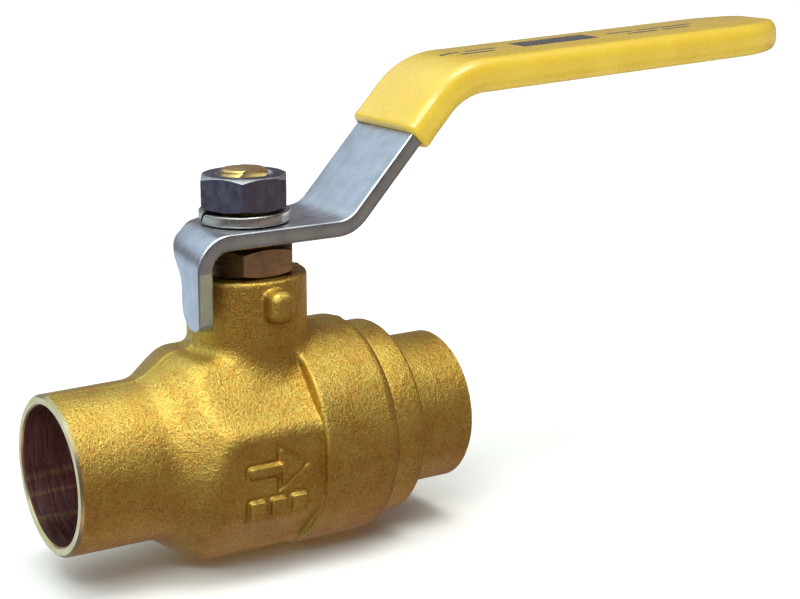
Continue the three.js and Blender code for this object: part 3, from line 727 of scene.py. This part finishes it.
def tailpiece(materials):
    """Outlet cup, shoulder ring, and the spigot that screws into the barrel."""
    start = TAIL_LOW.x
    spigot = THREAD_RADIUS - PLAY
    seat = SEAT_HIGH.y + PLAY
    shoulder_end = 24.0
    gap, fillet, front_round, back_round, chamfer = 0.2, 1.0, 0.8, 0.4, 0.6
    stop = OUTLET_X - CUP_DEPTH
    rim_edge = (OUTLET_X, CUP_OUTER - RIM_OUTSIDE)
    profile = [
        (start, seat), (SEAT_FLOOR, seat), (SEAT_FLOOR, PORT_RADIUS), (stop, PORT_RADIUS),
        (stop, CUP_RADIUS), (OUTLET_X - RIM_INSIDE, CUP_RADIUS),
        (OUTLET_X, CUP_RADIUS + RIM_INSIDE), rim_edge, (OUTLET_X - RIM_OUTSIDE, CUP_OUTER),
    ]
    forged_from = len(profile) - 1
    profile += arc(shoulder_end + fillet, CUP_OUTER + fillet, fillet, -90, -180, 6)
    profile += arc(shoulder_end - front_round, SHOULDER_RADIUS - front_round, front_round, 0, 90, 6)
    back = BARREL_END + gap + back_round
    profile += arc(back, SHOULDER_RADIUS - back_round, back_round, 90, 180, 4)
    forged_to = len(profile) - 1
    profile += [(BARREL_END + gap, spigot), (start + chamfer, spigot), (start, spigot - chamfer)]
    slots = [FACE if forged_from <= i < forged_to else BORE_SIDE for i in range(len(profile))]
    rim = profile.index(rim_edge)
    slots[rim - 2:rim + 1] = [RIM] * 3
    return turned("tailpiece_end", "x", profile, materials, slots, 160)


def plain_ring(name, axis, node, inner, material, edge=0.12):
    """Ring with broken edges in the place of a CAD ring; its bore radius is inner."""
    low, high = edges_of(node)
    index = "xyz".index(axis)
    outer = high[(index + 1) % 3]
    a, b = low[index], high[index]
    return turned(name, axis, [
        (a + edge, inner), (b - edge, inner), (b, inner + edge), (b, outer - edge),
        (b - edge, outer), (a + edge, outer), (a, outer - edge), (a, inner + edge),
    ], [material], steps=SMALL_ROUND)


def seat_ring(name, side, material):
    """PTFE seat whose inner face follows the ball."""
    face = BALL_RADIUS + PLAY
    inner = 9.7
    nose = SEAT_LOW.x + PLAY
    outer = SEAT_HIGH.y
    start = math.degrees(math.acos(SEAT_LOW.x / face))
    end = math.degrees(math.asin(inner / face))
    profile = [(SEAT_HIGH.x, inner), (SEAT_HIGH.x, outer), (nose, outer)]
    profile += arc(0, 0, face, start, end, 10)
    return turned(name, "x", [(side * a, r) for a, r in profile], [material])


def ball_piece(material):
    """Ball with its port along X and a round-ended slot across its top."""
    edge = math.degrees(math.asin(PORT_RADIUS / BALL_RADIUS))
    piece = turned("ball_chromed", "x", arc(0, 0, BALL_RADIUS, edge, 180 - edge, 40), [material])
    half, reach, slot_floor, above = 2.55, 7.5, 10.9, 20
    ends = arc(0, reach - half, half, 0, 180, 10) + arc(0, half - reach, half, 180, 360, 10)
    slot = prism("ball_slot", ends, slot_floor, above, [material])
    return combine(piece, [slot], "DIFFERENCE")


def hexagon_piece(name, node, bore, materials, skirt=None):
    """Hexagon with a corner on +X, its corners turned off at both ends, and a plain bore.

    skirt is the radius of a round part below the hexagon, for the gland nut.
    """
    low, high = edges_of(node)
    bottom = low.z if skirt is None else NECK_TOP + PLAY
    flat = high.y
    corner = flat * 2 / math.sqrt(3)
    drop = (corner - flat) * 0.58
    beyond = corner + 0.02
    turns = [math.radians(60 * i) for i in range(6)]
    sides = [(corner * math.cos(turn), corner * math.sin(turn)) for turn in turns]
    piece = prism(name, sides, bottom, high.z, materials)
    crown = turned("crown", "z", [
        (bottom, 0), (bottom, flat * 0.97), (bottom + drop, beyond),
        (high.z - drop, beyond), (high.z, flat * 0.965), (high.z, 0),
    ], materials, [0, 1, 0, 1, 1, 1], SMALL_ROUND)
    combine(piece, [crown], "INTERSECT")
    chamfer, top_chamfer = 0.4, 0.5
    if skirt is not None:
        stub = turned("skirt", "z", [
            (low.z, 0), (low.z, skirt - chamfer), (low.z + chamfer, skirt),
            (bottom + 1, skirt), (bottom + 1, 0),
        ], materials, steps=SMALL_ROUND)
        combine(piece, [stub], "UNION")
    hole = turned("hole", "z", [
        (low.z - 1, 0), (low.z - 1, bore + chamfer), (low.z, bore + chamfer),
        (low.z + chamfer, bore), (high.z - top_chamfer, bore), (high.z, bore + top_chamfer),
        (high.z + 1, bore + top_chamfer), (high.z + 1, 0),
    ], materials, [1] * 8, SMALL_ROUND)
    return combine(piece, [hole], "DIFFERENCE", 25)


def threaded_stem(material):
    """Stem with its collar, and a thread that fades in above the flats' lower end."""
    pitch, depth, run_in, spacing = 1.25, 0.55, 1.0, 0.1
    edge, end_radius = 0.2, THREAD_M8 - 0.7
    thread_from = STEM_LOW.z + 22.5
    top = STEM_HIGH.z
    rows = [
        (COLLAR_LOW, 0), (COLLAR_LOW, COLLAR_RADIUS - edge), (COLLAR_LOW + edge, COLLAR_RADIUS),
        (COLLAR_HIGH - edge, COLLAR_RADIUS), (COLLAR_HIGH, COLLAR_RADIUS - edge),
        (COLLAR_HIGH, STEM_RADIUS), (FLATS_FROM - edge, STEM_RADIUS),
        (FLATS_FROM, STEM_RADIUS - edge), (FLATS_FROM, THREAD_M8),
    ]
    heights = np.arange(thread_from + 0.8, top - spacing, spacing)
    profile = rows + [(h, THREAD_M8) for h in heights] + [(top, end_radius), (top, 0)]
    points, faces, _ = lathe("z", profile, steps=SMALL_ROUND)
    points = points.reshape(len(profile), SMALL_ROUND, 3)
    turn = np.arange(SMALL_ROUND) / SMALL_ROUND
    angle = turn * 2 * math.pi
    for i, height in enumerate(heights):
        phase = (height / pitch - turn) % 1
        groove = depth * np.abs(2 * phase - 1)
        radius = THREAD_M8 - groove * np.clip((height - thread_from - run_in) / run_in, 0, 1)
        radius = np.minimum(radius, end_radius + (top - height))
        points[len(rows) + i, :, 0] = radius * np.cos(angle)
        points[len(rows) + i, :, 1] = radius * np.sin(angle)
    return mesh_object("stem_brass", points.reshape(-1, 3), faces, [material])


def stem_piece(material):
    """Stem with collar, tang, thread and two flats."""
    piece = threaded_stem(material)
    half_t, half_w, tang_top, reach = 2.4, 5.5, 15.5, 9
    section = [(-half_t, -half_w), (half_t, -half_w), (half_t, half_w), (-half_t, half_w)]
    combine(piece, [prism("tang", section, STEM_LOW.z, tang_top, [material])], "UNION")
    flats = []
    for side in (-1, 1):
        near, far = side * STEM_FLAT, side * reach
        outline = [(-reach, near), (reach, near), (reach, far), (-reach, far)]
        flats.append(prism("flat", outline, FLATS_FROM, STEM_HIGH.z + 1, [material]))
    return combine(piece, flats, "DIFFERENCE", 30)


def washer_piece(material):
    """Spring washer: one rounded rectangular coil, not quite a full turn."""
    inner = 4.3
    outer = WASHER_HIGH.x
    clear, climb = 0.02, 0.31
    thick = (WASHER_HIGH.z - WASHER_LOW.z) - (climb + 2 * clear)
    middle = (inner + outer) / 2
    steps = 120
    gap, lean = math.radians(3), 0.2  # angle left open, and how far the cut leans over
    start = math.radians(176)
    section = rounded_section((outer - inner) / 2, thick / 2, 0.3, 3)
    count = len(section)
    points = []
    for i in range(steps + 1):
        share = i / steps
        angle = start + gap / 2 + share * (2 * math.pi - gap)
        rise = WASHER_LOW.z + thick / 2 + clear + climb * share
        for u, v in section:
            slant = angle + v / thick * lean
            radius = middle + u
            points.append((radius * math.cos(slant), radius * math.sin(slant), rise + v))
    faces = [tuple(range(count))[::-1], tuple(range(steps * count, (steps + 1) * count))]
    for i in range(steps):
        faces += ring_quads(i, i + 1, count)
    return mesh_object("spring_washer", points, faces, [material], smooth_angle=40)


# --------------------------------------------------------------- bent lever

class Bend:
    """Centre line of the lever strip in (x, z): straight runs joined by arcs."""

    def __init__(self, corners):
        self.runs = []
        points = [Vector((x, z)) for x, z, _ in corners]
        cursor = points[0]
        length = 0.0
        for i in range(1, len(corners)):
            towards = (points[i] - points[i - 1]).normalized()
            radius = corners[i][2]
            end = points[i]
            if radius:
                onwards = (points[i + 1] - points[i]).normalized()
                turn = math.atan2(towards.x * onwards.y - towards.y * onwards.x, towards.dot(onwards))
                end = points[i] - towards * radius * math.tan(abs(turn) / 2)
            run = (end - cursor).length
            self.runs.append((length, run, cursor.copy(), towards, 0.0))
            length += run
            cursor = end
            if radius:
                sweep = radius * abs(turn)
                self.runs.append((length, sweep, cursor.copy(), towards, turn))
                side = Vector((-towards.y, towards.x)) * (radius if turn > 0 else -radius)
                centre = cursor + side
                cursor = centre + Matrix.Rotation(turn, 2) @ (cursor - centre)
                length += sweep
        self.length = length

    def at(self, s):
        """Point and direction at the distance s along the line."""
        for start, run, origin, towards, turn in reversed(self.runs):
            if s >= start or start == 0.0:
                break
        along = s - start
        if turn == 0.0:
            return origin + towards * along, towards
        radius = run / abs(turn)
        side = Vector((-towards.y, towards.x)) * (radius if turn > 0 else -radius)
        turned_by = turn * along / run
        spin = Matrix.Rotation(turned_by, 2)
        return origin + side + spin @ (-side), spin @ towards

    def place(self, s, across, out):
        """Point at s along the line, across it (y), and out on its upper side."""
        point, towards = self.at(s)
        return (point.x - towards.y * out, across, point.y + towards.x * out)

    def s_of_x(self, x):
        """Distance along the line of its last point with this x."""
        low, high = 0.0, self.length
        for _ in range(50):
            middle = (low + high) / 2
            if self.at(middle)[0].x < x:
                low = middle
            else:
                high = middle
        return (low + high) / 2


STRIP = Bend([
    (LEVER_LOW.x + SHEET / 2, LEVER_LOW.z, 0),
    (LEVER_LOW.x + SHEET / 2, LEVER_MID, 4.4),
    (KNEE_X, LEVER_MID, 6),
    (SHOULDER_X, SHOULDER_Z, 13),
    (STRIP_END_X, STRIP_END_Z, 0),
])


def smooth_line(points, steps=8):
    """Catmull-Rom curve through the points."""
    line = []
    for i in range(len(points) - 1):
        a = Vector(points[max(i - 1, 0)])
        b = Vector(points[i])
        c = Vector(points[i + 1])
        d = Vector(points[min(i + 2, len(points) - 1)])
        for k in range(steps):
            t = k / steps
            line.append(tuple(0.5 * (
                2 * b + (c - a) * t + (2 * a - 5 * b + 4 * c - d) * t * t
                + (3 * b - a - 3 * c + d) * t ** 3
            )))
    line.append(tuple(points[-1]))
    return line


def blank_outline():
    """Outline of the flat lever blank in (s, y)."""
    corner, heel = 1.5, 3.8
    tip_start = STRIP.length - BLANK_TIP
    outline = arc(corner, corner - LEVER_HALF, corner, 180, 270, 5)
    outline += [(tip_start + BLANK_TIP * math.cos(a), LEVER_HALF * math.sin(a))
                for a in np.radians(np.linspace(-90, 90, 25))]
    outline += [(22.4, LEVER_HALF)]
    outline += smooth_line([
        (21.6, 8.4), (18.8, 7.3), (16.5, 5.9), (14.9, 4.1), (14.0, 3.3), (13.1, 3.0),
        (12.0, 2.2), (10.7, 0.6), (9.5, -1.0), (8.1, -1.95), (6.7, TAB_BACK),
    ])
    outline += arc(heel, TAB_BACK - heel, heel, 90, 180, 8)
    return outline


def pierced_blank(materials):
    """Flat blank with broken edges and the hole that fits over the stem's flats."""
    broken = 0.42
    blank = prism("lever_strip", blank_outline(), -SHEET / 2, SHEET / 2, materials)
    work = bmesh.new()
    work.from_mesh(blank.data)
    rims = [e for e in work.edges if abs(e.verts[0].co.z - e.verts[1].co.z) < 1e-9]
    bmesh.ops.bevel(
        work, geom=rims, offset=broken * MM, offset_type="OFFSET", segments=4, profile=0.5,
        affect="EDGES", clamp_overlap=True,
    )
    work.to_mesh(blank.data)
    work.free()
    centre = STRIP.s_of_x(0)
    radius = THREAD_M8 + PLAY
    half = STEM_FLAT + PLAY
    reach = math.degrees(math.asin(half / radius))
    hole = arc(centre, 0, radius, -reach, reach, 12)
    hole += arc(centre, 0, radius, 180 - reach, 180 + reach, 12)
    return combine(blank, [prism("hole", hole, -5, 5, materials)], "DIFFERENCE")


def lever_piece(materials):
    """Pierced blank, bent along the strip's line; its slots are face, edge, and tab edge with a
    painted reflection.
    """
    blank = pierced_blank(materials)
    work = bmesh.new()
    work.from_mesh(blank.data)
    stations = []
    for start, run, _, _, turn in STRIP.runs:
        if turn:
            stations += list(np.linspace(start, start + run, 17))
    for station in stations:
        everything = list(work.verts) + list(work.edges) + list(work.faces)
        bmesh.ops.bisect_plane(
            work, geom=everything, dist=1e-8, plane_co=(station * MM, 0, 0), plane_no=(1, 0, 0),
        )
    for face in work.faces:
        # Slot 2, the tab's edge, takes a lighter greener copy of the edge steel: painted reflection.
        edge_slot = 2 if face.calc_center_median().x < TAB_LENGTH * MM else 1
        face.material_index = edge_slot if abs(face.normal.z) < 0.3 else 0
    for vertex in work.verts:
        s, across, out = vertex.co / MM
        vertex.co = Vector(STRIP.place(s, across, out)) * MM
    work.to_mesh(blank.data)
    work.free()
    tidy(blank, 32)
    return blank


# ----------------------------------------------------------------------- grip

def grip_outside(mouth):
    """Rings (s, half width, half thickness, corner) along the outside, mouth to far end."""
    half_t, corner = 2.9, 2.3
    tip_w, tip_t, tip_steps = 14.0, 3.6, 22
    end = STRIP.length + (GRIP_HIGH.x - STRIP_END_X)
    lip = [(0.15, -0.25), (0.45, 0.0), (0.9, 0.05), (1.5, 0.03), (2.4, 0.0)]
    stations = [(mouth + s, bead) for s, bead in lip]
    stations += [(s, 0.0) for s in np.arange(mouth + 3.4, end - tip_w, 1.1)]
    for i in range(1, tip_steps + 1):
        share = math.sin(math.pi / 2 * i / (tip_steps + 0.35))
        stations.append((end - tip_w + tip_w * share, 0.0))
    rings = []
    for s, bead in stations:
        past_w = max(0.0, (s - (end - tip_w)) / tip_w)
        past_t = max(0.0, (s - (end - tip_t)) / tip_t)
        width = GRIP_HIGH.y * math.sqrt(max(1 - past_w ** 2.1, 1e-4)) + bead
        thick = half_t * math.sqrt(max(1 - past_t ** 2, 1e-4)) + bead
        rings.append((s, width, thick, corner))
    return rings


def grip_inside(mouth):
    """Rings of the room that the lever fills, mouth to far end."""
    clear, corner = 0.12, 0.5
    tip_start = STRIP.length - BLANK_TIP
    tip = tip_start + BLANK_TIP * np.sin(np.linspace(0.1, 1.0, 14) * math.pi / 2)
    rings = []
    for s in np.concatenate([np.linspace(mouth + 0.1, tip_start, 60), tip]):
        past = max(0.0, (s - tip_start) / (BLANK_TIP + 0.15))
        width = (LEVER_HALF + clear) * math.sqrt(max(1 - past ** 2, 1e-3))
        rings.append((s, width, SHEET / 2 + clear, corner))
    return rings


def grip_piece(material):
    """Dipped sleeve: rounded strip with a rolled lip at the mouth and a round far end."""
    mouth = STRIP.s_of_x(27.4)
    steps = 8
    points = []
    for s, width, thick, corner in grip_inside(mouth)[::-1] + grip_outside(mouth):
        section = rounded_section(width, thick, corner, steps)
        points += [STRIP.place(s, u, v) for u, v in section]
    count = 4 * (steps + 1)
    rows = len(points) // count
    faces = [tuple(range(count)), tuple(range((rows - 1) * count, rows * count))[::-1]]
    for i in range(rows - 1):
        for k in range(count):
            m = (k + 1) % count
            faces.append((i * count + k, (i + 1) * count + k, (i + 1) * count + m, i * count + m))
    return mesh_object("vinyl_grip", points, faces, [material], smooth_angle=60)


# ----------------------------------------------------------------- build it all

FORGED = forged_brass()
MACHINED = machined_brass()
BORE = bore_brass()
TURNED = turned_brass("turned_brass", (0.62, 0.43, 0.14), (0.84, 0.64, 0.27))
# Darker copy of the turned brass for the gland nut: painted shade under the lever.
GLAND_PAINTED_SHADE = turned_brass("gland_brass_painted_shade", (0.22, 0.14, 0.09), (0.36, 0.26, 0.13))
ZINC = zinc_steel("zinc_steel", (0.62, 0.66, 0.74), (0.08, 1, 0.08))
# Light steel for the nut's chamfers and top: painted highlight against the dark flats.
NUT_PAINTED_HIGHLIGHT = zinc_steel("nut_painted_highlight_steel", (0.70, 0.72, 0.76), (0.3, 0.3, 1))
EDGE = zinc_steel("sheared_steel", (0.44, 0.50, 0.49), (1, 1, 0.4))
# Lighter, greener copy of the sheared steel for the tab's edge: painted reflection.
TAB_EDGE_PAINTED_REFLECTION = zinc_steel("tab_edge_painted_reflection", (0.66, 0.82, 0.62), (1, 1, 0.4))
SPRING = zinc_steel("spring_steel", (0.50, 0.49, 0.44), (1, 1, 0.3))
DARK = dark_steel()
CHROME = chrome()
SEAL = ptfe()
VINYL = yellow_vinyl()

place(forging([FORGED, MACHINED, BORE]), "housing", "valve_body", slot="forged_brass")
place(tailpiece([FORGED, MACHINED, BORE]), "housing", "tailpiece", slot="forged_brass")
place(plain_ring("seal_ring", "x", "body_seal_ring", CAVITY_RADIUS + PLAY, SEAL), "housing",
      "body_seal_ring", slot="ptfe")
place(seat_ring("inlet_seat", -1, SEAL), "housing", "seat_inlet", slot="ptfe")
place(seat_ring("outlet_seat", 1, SEAL), "housing", "seat_outlet", slot="ptfe")
for level in ("lower", "middle", "upper"):
    ring = plain_ring(f"packing_{level}", "z", f"packing_ring_{level}", STEM_BORE, SEAL)
    place(ring, "housing", f"packing_ring_{level}", slot="ptfe")
place(plain_ring("gland_follower", "z", "packing_follower", STEM_BORE, TURNED), "housing",
      "packing_follower", slot="turned_brass")
# The gland nut's darker brass is painted shade.
place(hexagon_piece("gland_nut", "packing_nut", STEM_BORE, [GLAND_PAINTED_SHADE, GLAND_PAINTED_SHADE], skirt=6.65), "housing",
      "packing_nut", slot="turned_brass")
place(stem_piece(TURNED), "handle", "stem", slot="turned_brass")
place(plain_ring("thrust_washer", "z", "stem_thrust_washer", STEM_BORE, SEAL), "handle",
      "stem_thrust_washer", slot="ptfe")
place(lever_piece([ZINC, EDGE, TAB_EDGE_PAINTED_REFLECTION]), "handle", "lever_handle", slot="zinc_plated_steel")
place(grip_piece(VINYL), "handle", "handle_grip", slot="yellow_vinyl")
place(washer_piece(SPRING), "handle", "lock_washer", slot="zinc_plated_steel")
# The nut's chamfers and top take the light steel as painted highlight.
place(hexagon_piece("top_nut", "handle_nut", THREAD_M8 + PLAY, [DARK, NUT_PAINTED_HIGHLIGHT]), "handle",
      "handle_nut", slot="nut_steel")
place(ball_piece(CHROME), "ball", "ball", slot="chrome_plate")


# ------------------------------------------------------ floor, light and camera

def floor():
    """Wide white sheet at the underside of the valve."""
    size = 4000
    z = CAD_BOUNDS[0][2] / MM
    shader = Shader("floor_paper", 0.0)
    shader.value("Roughness", 0.9)
    shader.value("Specular IOR Level", 0.1)
    paper = shader.finish(shader.ramp(shader.noise(400, 1), (0.0, 0.94), (1.0, 0.96)))
    corners = [(-size, -size, z), (size, -size, z), (size, size, z), (-size, size, z)]
    sheet = mesh_object("floor", corners, [(0, 1, 2, 3)], [paper])
    sheet.visible_glossy = False


def sky():
    """Soft studio surround: bright overhead, dim round the horizon, a pale screen behind."""
    world = bpy.data.worlds.new("studio")
    bpy.context.scene.world = world
    world.use_nodes = True
    nodes = Nodes(world.node_tree)
    direction = nodes.node("ShaderNodeTexCoord").outputs["Generated"]
    rise = nodes.math("ADD", nodes.along(direction, (-0.15, 0, 0.5)), 0.5)
    surround = nodes.ramp(
        rise,
        (0.0, (0.50, 0.38, 0.36)), (0.05, (0.44, 0.33, 0.33)), (0.13, (0.12, 0.08, 0.12)),
        (0.20, (0.20, 0.15, 0.17)), (0.30, (0.70, 0.55, 0.47)), (0.40, (0.30, 0.23, 0.23)),
        (0.53, (0.15, 0.115, 0.135)), (0.70, (0.18, 0.14, 0.15)), (0.79, (0.30, 0.245, 0.235)),
        (0.86, (1.0, 1.04, 0.97)), (0.94, (1.75, 1.92, 1.80)),
    )
    towards_screen = nodes.along(direction, (-0.56, 0.82, 0.12))
    spread = nodes.node("ShaderNodeMapRange", Value=towards_screen, From_Min=0.35, From_Max=0.85)
    spread.interpolation_type = "SMOOTHSTEP"
    up = nodes.node("ShaderNodeSeparateXYZ", Vector=direction).outputs["Z"]
    height = nodes.node("ShaderNodeMapRange", Value=up, From_Min=-1).outputs["Result"]
    dark_strip = nodes.ramp(height, (0.50, 1.0), (0.55, 0.06), (0.63, 0.06), (0.70, 1.0))
    share = nodes.math("MULTIPLY", spread.outputs["Result"], dark_strip)
    colour = nodes.mix(share, surround, (0.72, 0.86, 0.94))
    background = nodes.node("ShaderNodeBackground", Color=colour)
    nodes.node("ShaderNodeOutputWorld", Surface=background.outputs[0])


def sun(name, direction, strength, spread):
    """Wide soft lamp shining along direction; spread is its angle in degrees."""
    data = bpy.data.lights.new(name, "SUN")
    data.energy = strength
    data.angle = math.radians(spread)
    lamp = bpy.data.objects.new(name, data)
    bpy.context.scene.collection.objects.link(lamp)
    lamp.rotation_euler = Vector(direction).to_track_quat("-Z", "Y").to_euler()


def strip_light(name, towards, width):
    """Narrow bright softbox, seen from the lever's bend in the direction towards."""
    length, away, power = 0.5, 0.9, 28  # power for each metre of width
    target = Vector((SHOULDER_X, -GRIP_HIGH.y, SHOULDER_Z)) * MM
    data = bpy.data.lights.new(name, "AREA")
    data.shape = "RECTANGLE"
    data.size = length
    data.size_y = width
    data.energy = power * width
    lamp = bpy.data.objects.new(name, data)
    bpy.context.scene.collection.objects.link(lamp)
    lamp.location = target + Vector(towards).normalized() * away
    lamp.rotation_euler = (-Vector(towards)).to_track_quat("-Z", "Y").to_euler()


def camera():
    """The view of the reference: from the inlet end, a little above."""
    azimuth, elevation = math.radians(-33.03), math.radians(13.98)
    distance, aim_right, aim_up = 0.2930, 0.02483, 0.02273
    flat = math.cos(elevation)
    back = Vector((math.sin(azimuth) * flat, -math.cos(azimuth) * flat, math.sin(elevation)))
    right = Vector((math.cos(azimuth), math.sin(azimuth), 0))
    up = back.cross(right)
    data = bpy.data.cameras.new("camera")
    data.sensor_width = 36
    data.lens = 79.96
    data.clip_start = 0.01
    eye = bpy.data.objects.new("camera", data)
    bpy.context.scene.collection.objects.link(eye)
    eye.matrix_world = Matrix((
        (right.x, up.x, back.x, 0), (right.y, up.y, back.y, 0), (right.z, up.z, back.z, 0),
        (0, 0, 0, 1),
    ))
    eye.location = right * aim_right + up * aim_up + back * distance
    bpy.context.scene.camera = eye


floor()
sky()
sun("overhead", (-0.12, 0.22, -1), 0.95, 24)
strip_light("strip_low", (-0.46, -0.53, 0.66), 0.05)
strip_light("strip_high", (-0.50, -0.30, 0.80), 0.03)
camera()
bpy.context.scene.view_settings.view_transform = "Standard"
